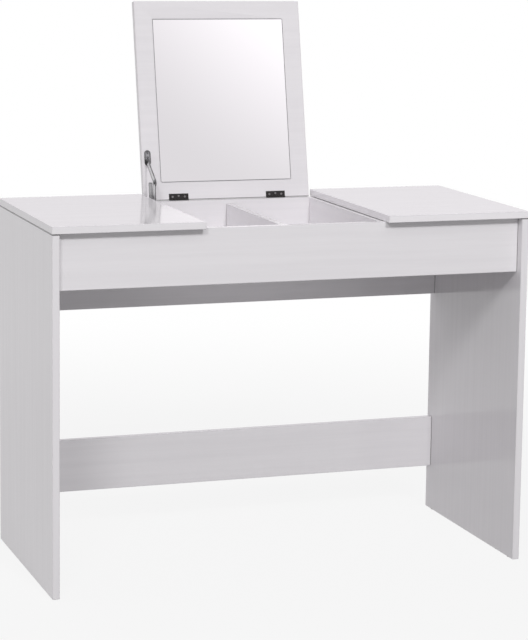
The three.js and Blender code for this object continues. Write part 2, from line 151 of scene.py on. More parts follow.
# %% Node helpers
def add_node(tree, kind, **settings):
    """A new node with its settings."""
    made = tree.nodes.new(kind)
    for name, value in settings.items():
        setattr(made, name, value)
    return made


def feed(tree, socket, source):
    """Joins source to the socket when it is a socket too, and otherwise sets the socket's value."""
    if isinstance(source, bpy.types.NodeSocket):
        tree.links.new(source, socket)
    else:
        socket.default_value = source


def feed_all(tree, sockets, sources):
    """Feeds each socket from the source in the same place."""
    for socket, source in zip(sockets, sources):
        feed(tree, socket, source)


def calc(tree, operation, *values, clamp=False):
    """One step of arithmetic on sockets or numbers."""
    step = add_node(tree, "ShaderNodeMath", operation=operation, use_clamp=clamp)
    feed_all(tree, step.inputs, values)
    return step.outputs[0]


def vector_calc(tree, operation, *values, output=0):
    """One step of arithmetic on vectors. Output 1 is for steps that give a number."""
    step = add_node(tree, "ShaderNodeVectorMath", operation=operation)
    feed_all(tree, step.inputs, values)
    return step.outputs[output]


print("node helpers ready")

# %% [markdown]
# Most looks come down to a mask, a number between 0 and 1 that changes over the surface, and to colours that
# are mixed by it. A mask starts as noise or as a distance, and a smooth step makes it crisp.

# %% Mask and colour helpers
def ramp(tree, value, low, high, to_low=0.0, to_high=1.0):
    """A smooth step: to_low while the value is under low, to_high over high, and an S curve between."""
    step = add_node(tree, "ShaderNodeMapRange", interpolation_type="SMOOTHSTEP")
    feed_all(tree, step.inputs, (value, low, high, to_low, to_high))
    return step.outputs[0]


def mix_colour(tree, amount, first, second):
    """The first colour where the amount is 0, the second where it is 1."""
    step = add_node(tree, "ShaderNodeMix", data_type="RGBA")
    feed(tree, step.inputs["Factor"], amount)
    feed_all(tree, [s for s in step.inputs if s.type == "RGBA"], (first, second))
    return next(s for s in step.outputs if s.type == "RGBA")


def noise(tree, vector, scale, detail, roughness, output="Fac"):
    """Clouds that repeat about scale times in a metre."""
    step = add_node(tree, "ShaderNodeTexNoise")
    feed_all(tree, [step.inputs[title] for title in ("Vector", "Scale", "Detail", "Roughness")],
             (vector, scale, detail, roughness))
    return step.outputs[output]


def patches(tree, vector, scale, detail, roughness, low, high):
    """A mask from noise: 0 where the noise is under low, 1 where it is over high."""
    return ramp(tree, noise(tree, vector, scale, detail, roughness), low, high)


def grey(value):
    """A grey as a colour."""
    return (value, value, value, 1)


print("mask helpers ready")

# %% [markdown]
# ## The studio
# A product like this stands on a sheet of white paper in a white room. The room is the world: the camera
# sees it as plain white. Glossy surfaces see a white sheet behind the table and a pale grey room in front of
# it, and in that room a bright window high on the right, which is what makes the mirror fade from grey to
# white. Matt surfaces get a dimmer light that grows towards the left and the back, so the lamps in front
# leave no side of the table dark. What the surfaces get has a faint violet tint. The room isn't sampled as a
# lamp, because a sample of it can't tell which kind of ray it answers.

# %% The world
def way_to(azimuth, height):
    """The direction at an azimuth, counted from the front to the right, and a height, both in degrees."""
    azimuth, height = math.radians(azimuth), math.radians(height)
    return Vector((math.sin(azimuth) * math.cos(height), -math.cos(azimuth) * math.cos(height),
                   math.sin(height)))


def choose(tree, switch, on, off):
    """The value on where the switch is 1, and the value off where it is 0."""
    return calc(tree, "ADD", calc(tree, "MULTIPLY", switch, on),
                calc(tree, "MULTIPLY", calc(tree, "SUBTRACT", 1.0, switch), off))


window_way = way_to(28.8, 26.5)
window_rim, window_core = (math.cos(math.radians(angle)) for angle in (14.2, 0.5))
sheet_begins, sheet_full = -0.5, 0.4
room_seen, sheet_seen, window_seen = 0.76, 0.96, 1.47
room_light = 0.215
brighter_sides = {"left": ((-1, 0, 0), 0.30), "back": ((0, 1, 0), 0.42)}
room_tint = (1.0, 0.972, 1.0, 1)

world = bpy.data.worlds.new("studio")
bpy.context.scene.world = world
world.use_nodes = True
world.cycles.sampling_method = "NONE"
studio = world.node_tree
studio.nodes.clear()
ray = add_node(studio, "ShaderNodeLightPath")
direction = add_node(studio, "ShaderNodeTexCoord").outputs["Generated"]
facing_window = vector_calc(studio, "DOT_PRODUCT", direction, window_way, output=1)
to_the_back = vector_calc(studio, "DOT_PRODUCT", direction, (0, 1, 0), output=1)
glow = calc(studio, "ADD",
            ramp(studio, facing_window, window_rim, window_core, 0.0, window_seen - room_seen),
            ramp(studio, to_the_back, sheet_begins, sheet_full, room_seen, sheet_seen))
matt_light = room_light
for side, extra in brighter_sides.values():
    facing_side = vector_calc(studio, "DOT_PRODUCT", direction, side, output=1)
    matt_light = calc(studio, "MULTIPLY_ADD", calc(studio, "MAXIMUM", facing_side, 0.0), extra, matt_light)
strength = choose(studio, ray.outputs["Is Camera Ray"], 1.0,
                  choose(studio, ray.outputs["Is Diffuse Ray"], matt_light, glow))
background = add_node(studio, "ShaderNodeBackground")
feed(studio, background.inputs["Color"], mix_colour(
    studio, ray.outputs["Is Camera Ray"], room_tint, grey(1)))
feed(studio, background.inputs["Strength"], strength)
studio.links.new(background.outputs[0], add_node(studio, "ShaderNodeOutputWorld").inputs["Surface"])
print("room", room_seen, "sheet", sheet_seen, "window", window_seen, "matt light", room_light)

# %% [markdown]
# The floor is a wide round sheet. It is paper white to the camera, so that no horizon shows, but part of
# what the camera sees is still the lit paper, and that part keeps the table's soft shadow. The shadow fades
# out with the distance from the table. Other rays see ordinary matt paper, which throws light up under the
# table.

# %% The floor
floor_radius, floor_sides = 30.0, 96
paper_dark, paper_light, fibre_scale = grey(0.48), grey(0.52), 900.0
shadow_near, shadow_far, shadow_share = 0.9, 3.0, 0.12
paper = bpy.data.materials.new("floor_paper")
paper.use_nodes = True
tree = paper.node_tree
tree.nodes.clear()
place = add_node(tree, "ShaderNodeTexCoord").outputs["Object"]
matt = add_node(tree, "ShaderNodeBsdfDiffuse")
feed(tree, matt.inputs["Color"], mix_colour(
    tree, noise(tree, place, fibre_scale, detail=3.0, roughness=0.6), paper_dark, paper_light))
white = add_node(tree, "ShaderNodeEmission")
white.inputs["Color"].default_value = grey(1)
path = add_node(tree, "ShaderNodeLightPath").outputs
feed(tree, white.inputs["Strength"], calc(
    tree, "MULTIPLY_ADD", path["Is Camera Ray"], 1.0 - sheet_seen, sheet_seen))
shadow = ramp(tree, vector_calc(tree, "LENGTH", place, output=1), shadow_near, shadow_far, shadow_share, 0.0)
seen_white = calc(tree, "MULTIPLY", calc(tree, "MAXIMUM", path["Is Camera Ray"], path["Is Glossy Ray"]),
                  calc(tree, "SUBTRACT", 1.0, shadow))
blend = add_node(tree, "ShaderNodeMixShader")
feed_all(tree, blend.inputs, (seen_white, matt.outputs[0], white.outputs[0]))
tree.links.new(blend.outputs[0], add_node(tree, "ShaderNodeOutputMaterial").inputs["Surface"])

angles = np.linspace(0, 2 * np.pi, floor_sides, endpoint=False)
ring = np.stack([np.cos(angles), np.sin(angles), 0 * angles], 1) * floor_radius
floor_mesh = bpy.data.meshes.new("floor")
floor_mesh.from_pydata(ring.tolist(), [], [list(range(len(ring)))])
floor_mesh.materials.append(paper)
floor = bpy.data.objects.new("floor", floor_mesh)
bpy.context.scene.collection.objects.link(floor)
floor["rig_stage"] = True
print("floor", floor_radius, "m in radius")

# %% [markdown]
# Soft light comes from three round panels a long way off, so that both ends of the table get the same. The
# main one is in front and puts a dark band under the tops. A weak, wide one stands higher and lets that band
# fade out softly. One to the left makes the apron throw a slanting shadow on the inside of the right panel.
# More lamps would only wash the shadows out. They are hidden from glossy rays: there the room and its window
# reflect.

# %% Lamps
# Azimuth and height in degrees, distance and diameter in metres, power in watts.
lamps = {
    "lamp_front": (3, 34.0, 8.0, 0.8, 188.0),
    "lamp_high": (3, 53.0, 8.0, 3.2, 34.0),
    "lamp_left": (-28, 33.0, 8.0, 1.7, 131.0),
}
aim = Vector((0, 0, 0.5))
for name, (azimuth, height, distance, diameter, power) in lamps.items():
    away = way_to(azimuth, height)
    lamp_data = bpy.data.lights.new(name, "AREA")
    lamp_data.shape = "DISK"
    lamp_data.size = diameter
    lamp_data.energy = power
    lamp = bpy.data.objects.new(name, lamp_data)
    lamp.matrix_world = (Matrix.Translation(aim + away * distance)
                         @ away.to_track_quat("Z", "Y").to_matrix().to_4x4())
    lamp.visible_glossy = False
    bpy.context.scene.collection.objects.link(lamp)
    print(name, power, "W")

# %% [markdown]
# ## Effects that several finishes share
# Grain, worn rims, handling marks, rolled streaks and cast skin each turn up on more than one piece, so each
# is a node group that is built once. A group hands out masks only; the shader that uses them stays in the
# material.

# %% Group helper
def new_group(name, inputs, outputs):
    """An empty shader group with named number or vector inputs and number outputs, and its two ends."""
    group = bpy.data.node_groups.new(name, "ShaderNodeTree")
    for title, value in inputs.items():
        kind = "NodeSocketVector" if isinstance(value, tuple) else "NodeSocketFloat"
        group.interface.new_socket(title, in_out="INPUT", socket_type=kind).default_value = value
    for title in outputs:
        group.interface.new_socket(title, in_out="OUTPUT", socket_type="NodeSocketFloat")
    return group, add_node(group, "NodeGroupInput").outputs, add_node(group, "NodeGroupOutput").inputs


def use_group(tree, group, **inputs):
    """A group placed in a material, with its inputs fed by name. It gives the group's outputs."""
    placed = add_node(tree, "ShaderNodeGroup", node_tree=group)
    for title, source in inputs.items():
        feed(tree, placed.inputs[title.replace("_", " ")], source)
    return placed.outputs


def split_up(tree, vector):
    """The three numbers of a vector."""
    split = add_node(tree, "ShaderNodeSeparateXYZ")
    feed(tree, split.inputs[0], vector)
    return split.outputs


no_vector, one_vector = (0.0, 0.0, 0.0), (1.0, 1.0, 1.0)
print("group helpers ready")

# %% [markdown]
# White laminate has a printed and pressed wood grain that is hardly there: broad soft bands along the board,
# and fine fibres inside them. A picture of wood could be used, but noise that is drawn out along the board
# gives the same look at any size. The grain runs along the group's X, so each board turns its coordinates
# before they come in.

# %% Group: pressed grain
grain_group, taken, given = new_group(
    "pressed_grain", {"Vector": no_vector, "Wander": 0.004}, ("Bands", "Fibres", "Pores"))
swaying = noise(grain_group, taken["Vector"], 5.0, detail=1.0, roughness=0.5, output="Color")
sway = add_node(grain_group, "ShaderNodeVectorMath", operation="SCALE")
feed(grain_group, sway.inputs[0], vector_calc(grain_group, "SUBTRACT", swaying, (0.5, 0.5, 0.5)))
feed(grain_group, sway.inputs["Scale"], taken["Wander"])
grain_place = vector_calc(grain_group, "ADD", taken["Vector"], sway.outputs[0])
for mask, repeats, detail, roughness, low, high in (("Bands", (2.2, 70, 70), 4.0, 0.6, 0.30, 0.72),
                                                    ("Fibres", (16, 620, 620), 3.0, 0.65, 0.30, 0.74),
                                                    ("Pores", (90, 2100, 2100), 1.0, 0.5, 0.62, 0.74)):
    drawn_out = vector_calc(grain_group, "MULTIPLY", grain_place, repeats)
    feed(grain_group, given[mask], patches(grain_group, drawn_out, 1.0, detail, roughness, low, high))
print("pressed_grain built")

# %% [markdown]
# A board's edging is a thin strip that is glued on and trimmed. It shows as a hairline just inside each
# edge, and the edge itself is touched and knocked most. Both masks need the distance to the nearest edge of
# the board. For a box that is the second smallest of the three distances to its faces, because the smallest
# is zero all over the surface.

# %% Group: board rim
line_full, line_gone = 0.00005, 0.00022
rim_group, taken, given = new_group(
    "board_rim", {"Vector": no_vector, "Low": no_vector, "High": one_vector, "Reach": 0.004,
                  "Strip": 0.0012}, ("Rim", "Hairline"))
inside = vector_calc(rim_group, "MINIMUM",
                     vector_calc(rim_group, "SUBTRACT", taken["Vector"], taken["Low"]),
                     vector_calc(rim_group, "SUBTRACT", taken["High"], taken["Vector"]))
dx, dy, dz = (calc(rim_group, "ABSOLUTE", number) for number in split_up(rim_group, inside))
second = calc(rim_group, "MAXIMUM", calc(rim_group, "MINIMUM", dx, dy),
              calc(rim_group, "MINIMUM", calc(rim_group, "MAXIMUM", dx, dy), dz))
feed(rim_group, given["Rim"], ramp(rim_group, second, 0.0, taken["Reach"], 1.0, 0.0))
feed(rim_group, given["Hairline"], ramp(
    rim_group, calc(rim_group, "ABSOLUTE", calc(rim_group, "SUBTRACT", second, taken["Strip"])),
    line_full, line_gone, 1.0, 0.0))
print("board_rim built")

# %% [markdown]
# Where one board butts against another there is a hair-wide gap, dark inside and the first place where dust
# stays. It shows as a dark line along the joint, drawn wider than the gap: the rest of the line is painted
# shade, most of all where a top rests on a panel and at the lid's foot. The mask needs to know which faces
# of the board's box are joints: two vectors hold a one for each such face, and the distance to any other face
# is pushed far away.

# %% Group: joint line
full_share = 0.6
joint_group, taken, given = new_group(
    "joint_line", {"Vector": no_vector, "Low": no_vector, "High": one_vector, "Joined Low": no_vector,
                   "Joined High": no_vector, "Width": 0.0014}, ("Line",))
away = []
for corner, joined in ((taken["Low"], taken["Joined Low"]), (taken["High"], taken["Joined High"])):
    gap = vector_calc(joint_group, "ABSOLUTE", vector_calc(joint_group, "SUBTRACT", taken["Vector"], corner))
    away.append(vector_calc(joint_group, "ADD", gap,
                            vector_calc(joint_group, "SUBTRACT", one_vector, joined)))
dx, dy, dz = split_up(joint_group, vector_calc(joint_group, "MINIMUM", *away))
joint_away = calc(joint_group, "MINIMUM", dx, calc(joint_group, "MINIMUM", dy, dz))
feed(joint_group, given["Line"], ramp(
    joint_group, joint_away, calc(joint_group, "MULTIPLY", taken["Width"], full_share), taken["Width"],
    1.0, 0.0))
print("joint_line built")

# %% [markdown]
# Hands leave faint dull patches on anything glossy. Broad clouds decide where, finer ones break them up, and
# the product of the two looks like patches of handling rather than an even fog.

# %% Group: handling marks
finer = 14.0
marks_group, taken, given = new_group("handling_marks", {"Vector": no_vector, "Size": 6.0}, ("Marks",))
feed(marks_group, given["Marks"], calc(
    marks_group, "MULTIPLY",
    patches(marks_group, taken["Vector"], taken["Size"], detail=2.0, roughness=0.5, low=0.45, high=0.70),
    patches(marks_group, taken["Vector"], calc(marks_group, "MULTIPLY", taken["Size"], finer),
            detail=4.0, roughness=0.7, low=0.35, high=0.65)))
print("handling_marks built")

# %% [markdown]
# Sheet metal keeps the streaks of the rollers, and plated steel has a cloudy skin over them.

# %% Group: rolled streaks
streak_repeats, cloud_repeats = (120, 6500, 6500), 260.0
streak_group, taken, given = new_group("rolled_streaks", {"Vector": no_vector}, ("Streaks", "Cloud"))
feed(streak_group, given["Streaks"], patches(
    streak_group, vector_calc(streak_group, "MULTIPLY", taken["Vector"], streak_repeats), 1.0,
    detail=3.0, roughness=0.6, low=0.28, high=0.72))
feed(streak_group, given["Cloud"], patches(
    streak_group, taken["Vector"], cloud_repeats, detail=4.0, roughness=0.65, low=0.32, high=0.70))
print("rolled_streaks built")

# %% [markdown]
# Zinc castings and moulded feet have a fine pebbled skin from the mould, with a few deeper pits. The pits
# sit in the middles of the cells of a coarser pattern.

# %% Group: cast skin
coarser, pit_floor, pit_brim = 0.35, 0.05, 0.16
cast_group, taken, given = new_group("cast_skin", {"Vector": no_vector, "Grit": 2600.0}, ("Skin", "Pits"))
feed(cast_group, given["Skin"], noise(cast_group, taken["Vector"], taken["Grit"], detail=3.0, roughness=0.6))
pit_cells = add_node(cast_group, "ShaderNodeTexVoronoi")
feed(cast_group, pit_cells.inputs["Vector"], taken["Vector"])
feed(cast_group, pit_cells.inputs["Scale"], calc(cast_group, "MULTIPLY", taken["Grit"], coarser))
feed(cast_group, given["Pits"], ramp(
    cast_group, pit_cells.outputs["Distance"], pit_floor, pit_brim, 1.0, 0.0))
print("cast_skin built")

# %% [markdown]
# ## Starting a material
# Each finish starts the same way: a material with one shader, which reads the piece's own coordinates. Fine
# relief comes from a Bump node, which tilts the surface for the light without moving it.

# %% Material helpers
def start_material(name):
    """A material with one plain shader, its node tree and that shader."""
    material = bpy.data.materials.new(name)
    material.use_nodes = True
    tree = material.node_tree
    tree.nodes.clear()
    shader = add_node(tree, "ShaderNodeBsdfPrincipled")
    tree.links.new(shader.outputs[0], add_node(tree, "ShaderNodeOutputMaterial").inputs["Surface"])
    return material, tree, shader


def turned_vector(tree, vector, turn, shift):
    """A vector, turned by angles and then moved."""
    mapping = add_node(tree, "ShaderNodeMapping", vector_type="POINT")
    tree.links.new(vector, mapping.inputs["Vector"])
    mapping.inputs["Rotation"].default_value = turn
    mapping.inputs["Location"].default_value = shift
    return mapping.outputs[0]


def placed_vector(tree, turn=(0.0, 0.0, 0.0), shift=(0.0, 0.0, 0.0)):
    """Object coordinates, turned by angles and then moved."""
    return turned_vector(tree, add_node(tree, "ShaderNodeTexCoord").outputs["Object"], turn, shift)


def bump(tree, height, distance, strength=1.0):
    """The normal of a surface that a height between 0 and 1 lifts by up to a distance."""
    step = add_node(tree, "ShaderNodeBump")
    step.inputs["Distance"].default_value = distance
    step.inputs["Strength"].default_value = strength
    feed(tree, step.inputs["Height"], height)
    return step.outputs[0]


def overlay(tree, base, mask, share, colour):
    """A colour laid over the base by a share of the mask."""
    return mix_colour(tree, calc(tree, "MULTIPLY", mask, share), base, colour)


print("material helpers ready")

# %% [markdown]
# ## The laminate
# The boards are chipboard under a smooth white laminate with a clear, glossy face. One could put a clear
# coat over a matt base, but two glossy layers throw back too much of the room at a slant, so one smooth
# layer does both: it is white below and mirrors its surroundings more, the flatter it is seen. The boards
# that line the well, and the right top, take a brighter copy of the white, and the edge band of that top
# beside the well is brighter still: both are painted light, for faces that get less light than the rest.
# Below, both tops are dark grey, as painted shade: the undersides stay dark and throw less light onto the
# apron. Each board has a material of its own, because the grain runs along a different axis and the rim
# mask needs the board's own corners.

# %% Laminate colours
laminate_white, laminate_shade = (0.886, 0.868, 0.889, 1), (0.851, 0.833, 0.854, 1)
# A brighter copy of the white, for the well's boards and the right top: painted light.
painted_light_white, painted_light_shade = (0.950, 0.931, 0.953, 1), (0.920, 0.900, 0.923, 1)
# The second colour here is a brighter band for the right top's edge beside the well: painted light.
edging_shade, painted_light_edge = (0.821, 0.799, 0.822, 1), (0.990, 0.972, 0.993, 1)
# The second colour here darkens the joints: a real dark gap, widened into painted shade.
hairline_shade, joint_gap_and_painted_shade = (0.60, 0.59, 0.60, 1), (0.13, 0.125, 0.13, 1)
# A dark grey for the undersides of the tops: painted shade.
painted_shade_grey = (0.28, 0.277, 0.282, 1)
fibre_share, rim_share, hairline_share, joint_share = 0.35, 0.35, 0.45, 0.9
smooth_laminate, fibre_dulling, marks_dulling, wear_dulling = 0.10, 0.03, 0.05, 0.15
fibre_height, hairline_depth, pressed_depth, pressed_strength = 0.6, 1.5, 0.000004, 0.6
usual_joint, face_step = 0.0014, 0.0003
grain_shift = (1.0, 0.37, 0.61)
along_grain = {"X": (0.0, 0.0, 0.0), "Y": (0.0, 0.0, -math.pi / 2), "Z": (0.0, math.pi / 2, 0.0)}
print("laminate", laminate_white[:3], "painted_lighter", painted_light_white[:3])

# %% [markdown]
# The finish is built up from the base: the grain's bands and fibres first, then the edging with its hairline,
# then the brighter edge band beside the well, which is painted light, and the dark grey below the tops, which
# is painted shade, and last the dark joint lines, which are partly painted shade. Colour, roughness and
# relief read the same masks, so they agree. The lid's joined end is seen when it is closed, so its line stays
# in front.

# %% Laminate finish
def low_face(tree, place, low, axis):
    """A mask that is 1 on the board's lowest face along an axis, and 0 elsewhere."""
    start = low["XYZ".index(axis)] + face_step
    return ramp(tree, split_up(tree, place)[axis], start, start + face_step, 1.0, 0.0)


def laminate(name, low, high, along, own_place=placed_vector, offset=0.0, joints="", joint_box=None,
             joint_width=usual_joint, painted_lighter=False, edge_painted_lighter=False, shade_painted_below=False, line_in_front=False):
    """White laminate for a board between two corners, with its grain along an axis of the board's frame.
    Joints lists the planes of the joint box where other boards meet it, such as "-x+z". One flag gives a
    brighter copy of the white, which is painted light, and one a brighter band on the left edge, painted
    light too. One paints the underside dark grey, as painted shade.
    A line in front is for the lid, whose joined end is seen when it is closed: it leaves that end white."""
    material, tree, shader = start_material("laminate_" + name)
    place = own_place(tree)
    grain = use_group(tree, grain_group, Vector=turned_vector(
        tree, place, along_grain[along], tuple(offset * share for share in grain_shift)))
    rim = use_group(tree, rim_group, Vector=place, Low=tuple(low), High=tuple(high))
    marks = use_group(tree, marks_group, Vector=place)
    joined = {sign: tuple(float(sign + axis in joints) for axis in "xyz") for sign in "-+"}
    joint_low, joint_high = joint_box or (low, high)
    joint = use_group(tree, joint_group, Vector=place, Low=tuple(joint_low), High=tuple(joint_high),
                      Joined_Low=joined["-"], Joined_High=joined["+"], Width=joint_width)

    # A brighter copy of the white is painted light.
    white, shade = (painted_light_white, painted_light_shade) if painted_lighter else (laminate_white, laminate_shade)
    base = mix_colour(tree, grain["Bands"], white, shade)
    base = overlay(tree, base, grain["Fibres"], fibre_share, shade)
    base = overlay(tree, base, rim["Rim"], rim_share, edging_shade)
    base = overlay(tree, base, rim["Hairline"], hairline_share, hairline_shade)
    # Painted light: a brighter band on the right top's edge beside the well.
    if edge_painted_lighter:
        base = mix_colour(tree, low_face(tree, place, low, "X"), base, painted_light_edge)
    # Painted shade: the tops' undersides turn dark grey.
    if shade_painted_below:
        base = mix_colour(tree, low_face(tree, place, low, "Z"), base, painted_shade_grey)
    line = joint["Line"]
    if line_in_front:
        line = calc(tree, "MULTIPLY", line, low_face(tree, place, low, "Y"))
    # The joint line: a dark gap, and beside it painted shade.
    feed(tree, shader.inputs["Base Color"], overlay(tree, base, line, joint_share, joint_gap_and_painted_shade))

    worn = calc(tree, "MULTIPLY", rim["Rim"], grain["Fibres"])
    dull = calc(tree, "ADD", calc(tree, "MULTIPLY", marks["Marks"], marks_dulling),
                calc(tree, "MULTIPLY", worn, wear_dulling))
    feed(tree, shader.inputs["Roughness"], calc(
        tree, "ADD", dull, calc(tree, "MULTIPLY_ADD", grain["Fibres"], fibre_dulling, smooth_laminate)))
    relief = calc(tree, "SUBTRACT", calc(tree, "MULTIPLY", grain["Fibres"], fibre_height),
                  calc(tree, "ADD", grain["Pores"], calc(tree, "MULTIPLY", rim["Hairline"], hairline_depth)))
    feed(tree, shader.inputs["Normal"], bump(tree, relief, pressed_depth, pressed_strength))
    return material


print("laminate ready")

# %% [markdown]
# The lid's board and mirror stand in the lid's frame, so their coordinates are brought back from the leaning
# place: turned forward by the lean about the hinge, which a Mapping node does with a turn and a move.

# %% Coordinates on the lid
lid_shift = tuple(-(lid_turn.transposed() @ pivot))


def lid_vector(tree):
    """Object coordinates, brought into the lid's own frame."""
    return placed_vector(tree, (lean, 0.0, 0.0), lid_shift)


def lid_box(node):
    """The lowest and highest corners of a lid node in the lid's own frame, from its vertices turned back."""
    points = np.zeros(len(nodes[node].data.vertices) * 3)
    nodes[node].data.vertices.foreach_get("co", points)
    back = (points.reshape(-1, 3) - np.array(pivot)) @ np.array(lid_turn)
    return Vector(back.min(0)), Vector(back.max(0))


board_low, board_high = lid_box("mirror_lid")
print("lid board", [round(v, 4) for v in board_high - board_low], "m")

# %% [markdown]
# Long boards are cut with the grain along them, and the sides with the grain upright. Every board starts at
# another place in the grain, so that no two look alike. The partitions reach under the tops, so their joint
# line is moved to the edge of the top, which is as far as one can see; there it is painted shade under the
# top's edge.

# %% Dress the boards
# For each board: its grain axis, the faces where others meet it, and the width of the line there.
# The wider lines, at the side panels' tops and the partitions, are mostly painted shade under the tops.
boards = {
    "left_side_panel": ("Z", "+z", 0.0030), "right_side_panel": ("Z", "+z", 0.0022),
    "left_top": ("X", "", usual_joint), "right_top": ("X", "", usual_joint),
    "front_apron": ("X", "-x+x", usual_joint), "rear_panel": ("X", "-x+x", usual_joint),
    "rear_stretcher": ("X", "-x+x", usual_joint), "well_floor": ("X", "-x+x-y+y", usual_joint),
    "left_partition": ("Y", "+x", 0.0030), "right_partition": ("Y", "-x", 0.0030),
    "centre_divider": ("Y", "-y+y-z", usual_joint),
}
# The lid's line by its foot is painted shade of the gap there.
lid_line = 0.0018
# These boards take a brighter copy of the white, as painted light.
boards_painted_lighter = ("left_partition", "right_partition", "centre_divider", "well_floor", "right_top")
ledge_left, ledge_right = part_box("left_top")[1].x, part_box("right_top")[0].x
board_offset, lid_offset = 1.7, 31.0


def dress(node, material):
    """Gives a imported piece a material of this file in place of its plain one."""
    nodes[node].data.materials.clear()
    nodes[node].data.materials.append(material)


for number, (board, (along, joints, line)) in enumerate(boards.items()):
    joint_low, joint_high = (Vector(corner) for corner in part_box(board))
    if board == "left_partition":
        joint_high.x = ledge_left
    if board == "right_partition":
        joint_low.x = ledge_right
    dress(board, laminate(
        board, *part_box(board), along, offset=board_offset * number, joints=joints,
        joint_box=(joint_low, joint_high), joint_width=line, painted_lighter=board in boards_painted_lighter,
        edge_painted_lighter=board == "right_top", shade_painted_below=board in ("left_top", "right_top")))
dress("mirror_lid", laminate("mirror_lid", board_low, board_high, "X", lid_vector, offset=lid_offset,
                             joints="-z", joint_width=lid_line, line_in_front=True))
print("dressed", len(boards) + 1, "boards")

# %% [markdown]
# ## The mirror
# A mirror is silvered glass: it reflects nearly everything, a little less in green. Its ground edge is not
# silvered, so it shows as a thin grey-green line. A real pane over a silver sheet would need rays to pass
# through glass, which is slow and noisy, so the face is a polished metal and the rim mask turns it to glass.

# %% Mirror glass
silver, ground_glass = (0.958, 0.952, 0.957, 1), (0.18, 0.22, 0.21, 1)
marks_haze, ground_haze = 0.02, 0.25
glass_low, glass_high = lid_box("mirror_glass")
mirror, tree, shader = start_material("mirror_silver")
pane = lid_vector(tree)
rim = use_group(tree, rim_group, Vector=pane, Low=tuple(glass_low), High=tuple(glass_high), Reach=0.0006,
                Strip=0.02)
marks = use_group(tree, marks_group, Vector=pane, Size=9.0)
feed(tree, shader.inputs["Base Color"], mix_colour(tree, rim["Rim"], silver, ground_glass))
feed(tree, shader.inputs["Metallic"], calc(tree, "SUBTRACT", 1.0, rim["Rim"], clamp=True))
feed(tree, shader.inputs["Roughness"], calc(tree, "ADD", calc(tree, "MULTIPLY", marks["Marks"], marks_haze),
                                            calc(tree, "MULTIPLY", rim["Rim"], ground_haze)))
dress("mirror_glass", mirror)
print("mirror", [round(v, 4) for v in glass_high - glass_low], "m")

# %% [markdown]
# The mirror is held by black foam tape behind it. Foam is a matt skin full of open cells.

# %% Foam tape
pad, tree, shader = start_material("foam_tape")
foam = use_group(tree, cast_group, Vector=placed_vector(tree), Grit=900.0)
feed(tree, shader.inputs["Base Color"], mix_colour(tree, foam["Pits"], grey(0.045), grey(0.02)))
shader.inputs["Roughness"].default_value = 0.9
feed(tree, shader.inputs["Normal"], bump(tree, foam["Skin"], distance=0.0002))
dress("mirror_pad", pad)
print("foam tape ready")

# %% [markdown]
# ## The metals
# The hinge leaves are dark browned steel and their screws a duller plate than other screws. The stay is dull
# zinc plate. Its straps take a lighter copy of it, which is painted light, and its arm, which stands in
# shade, keeps the darker one as painted shade. The rims of its pressed plates are darker still, a painted
# reflection of dark surroundings. Its rivets are nearly black, and the cams are cast zinc. One function makes
# them all, told apart by their two colours and by how much the streaks and the cloudy skin change their
# roughness.

# %% Metal finish
worn_by_streaks, rim_always, streak_height = 0.5, 0.75, 0.6


def metal(name, bright, dull, smooth, rough, turn=(0.0, 0.0, 0.0), metallic=1.0, grit=0.00001, rim=None):
    """A plated or browned metal: two colours and two roughnesses, mixed by streaks and by a cloudy skin. A
    rim colour is for pressed plates, which carry a rim attribute: it is a painted dark reflection at their
    rims."""
    material, tree, shader = start_material(name)
    place = placed_vector(tree, turn)
    streaks = use_group(tree, streak_group, Vector=place)
    skin = use_group(tree, cast_group, Vector=place)
    worn = calc(tree, "MULTIPLY_ADD", streaks["Streaks"], worn_by_streaks,
                calc(tree, "MULTIPLY", streaks["Cloud"], 1 - worn_by_streaks))
    tint = mix_colour(tree, worn, bright, dull)
    # Painted reflection: the rims of pressed plates are drawn towards a near-black colour.
    if rim:
        at_rim = add_node(tree, "ShaderNodeAttribute", attribute_name="rim").outputs["Fac"]
        tint = overlay(tree, tint, at_rim, calc(
            tree, "MULTIPLY_ADD", streaks["Cloud"], 1 - rim_always, rim_always), rim)
    feed(tree, shader.inputs["Base Color"], tint)
    feed(tree, shader.inputs["Roughness"], calc(tree, "MULTIPLY_ADD", worn, rough - smooth, smooth))
    shader.inputs["Metallic"].default_value = metallic
    feed(tree, shader.inputs["Normal"], bump(tree, calc(
        tree, "MULTIPLY_ADD", streaks["Streaks"], streak_height,
        calc(tree, "MULTIPLY", skin["Skin"], 1 - streak_height)), grit))
    return material


up_turn = (0.0, math.pi / 2, 0.0)
# A near-black colour for the rims of pressed plates: a painted reflection of dark surroundings.
painted_dark_reflection = (0.12, 0.12, 0.125, 1)
leaf_steel = metal("hinge_steel", (0.060, 0.056, 0.055, 1), (0.035, 0.032, 0.032, 1), 0.28, 0.45,
                   metallic=0.9)
# A darker copy of the straps' zinc; on the stay's arm it is painted shade.
stay_zinc_shaded_copy = metal("zinc_plated_steel", (0.46, 0.46, 0.47, 1), (0.26, 0.26, 0.27, 1), 0.30, 0.46, up_turn,
                   rim=painted_dark_reflection)
# A lighter copy of the same zinc for the straps: painted light.
strap_zinc_lit_copy = metal("zinc_strap", (0.66, 0.66, 0.67, 1), (0.50, 0.50, 0.51, 1), 0.24, 0.40, up_turn,
                    rim=painted_dark_reflection)
screw_steel = metal("screw_plate", (0.62, 0.62, 0.63, 1), (0.46, 0.46, 0.47, 1), 0.20, 0.34)
leaf_screw_steel = metal("leaf_screw_plate", (0.34, 0.33, 0.33, 1), (0.20, 0.195, 0.195, 1), 0.24, 0.38)
black_steel = metal("black_steel", (0.020, 0.020, 0.021, 1), (0.011, 0.011, 0.012, 1), 0.36, 0.54,
                    metallic=0.4)
cam_zinc = metal("cam_zinc", (0.42, 0.42, 0.43, 1), (0.30, 0.30, 0.31, 1), 0.38, 0.55, grit=0.00004)

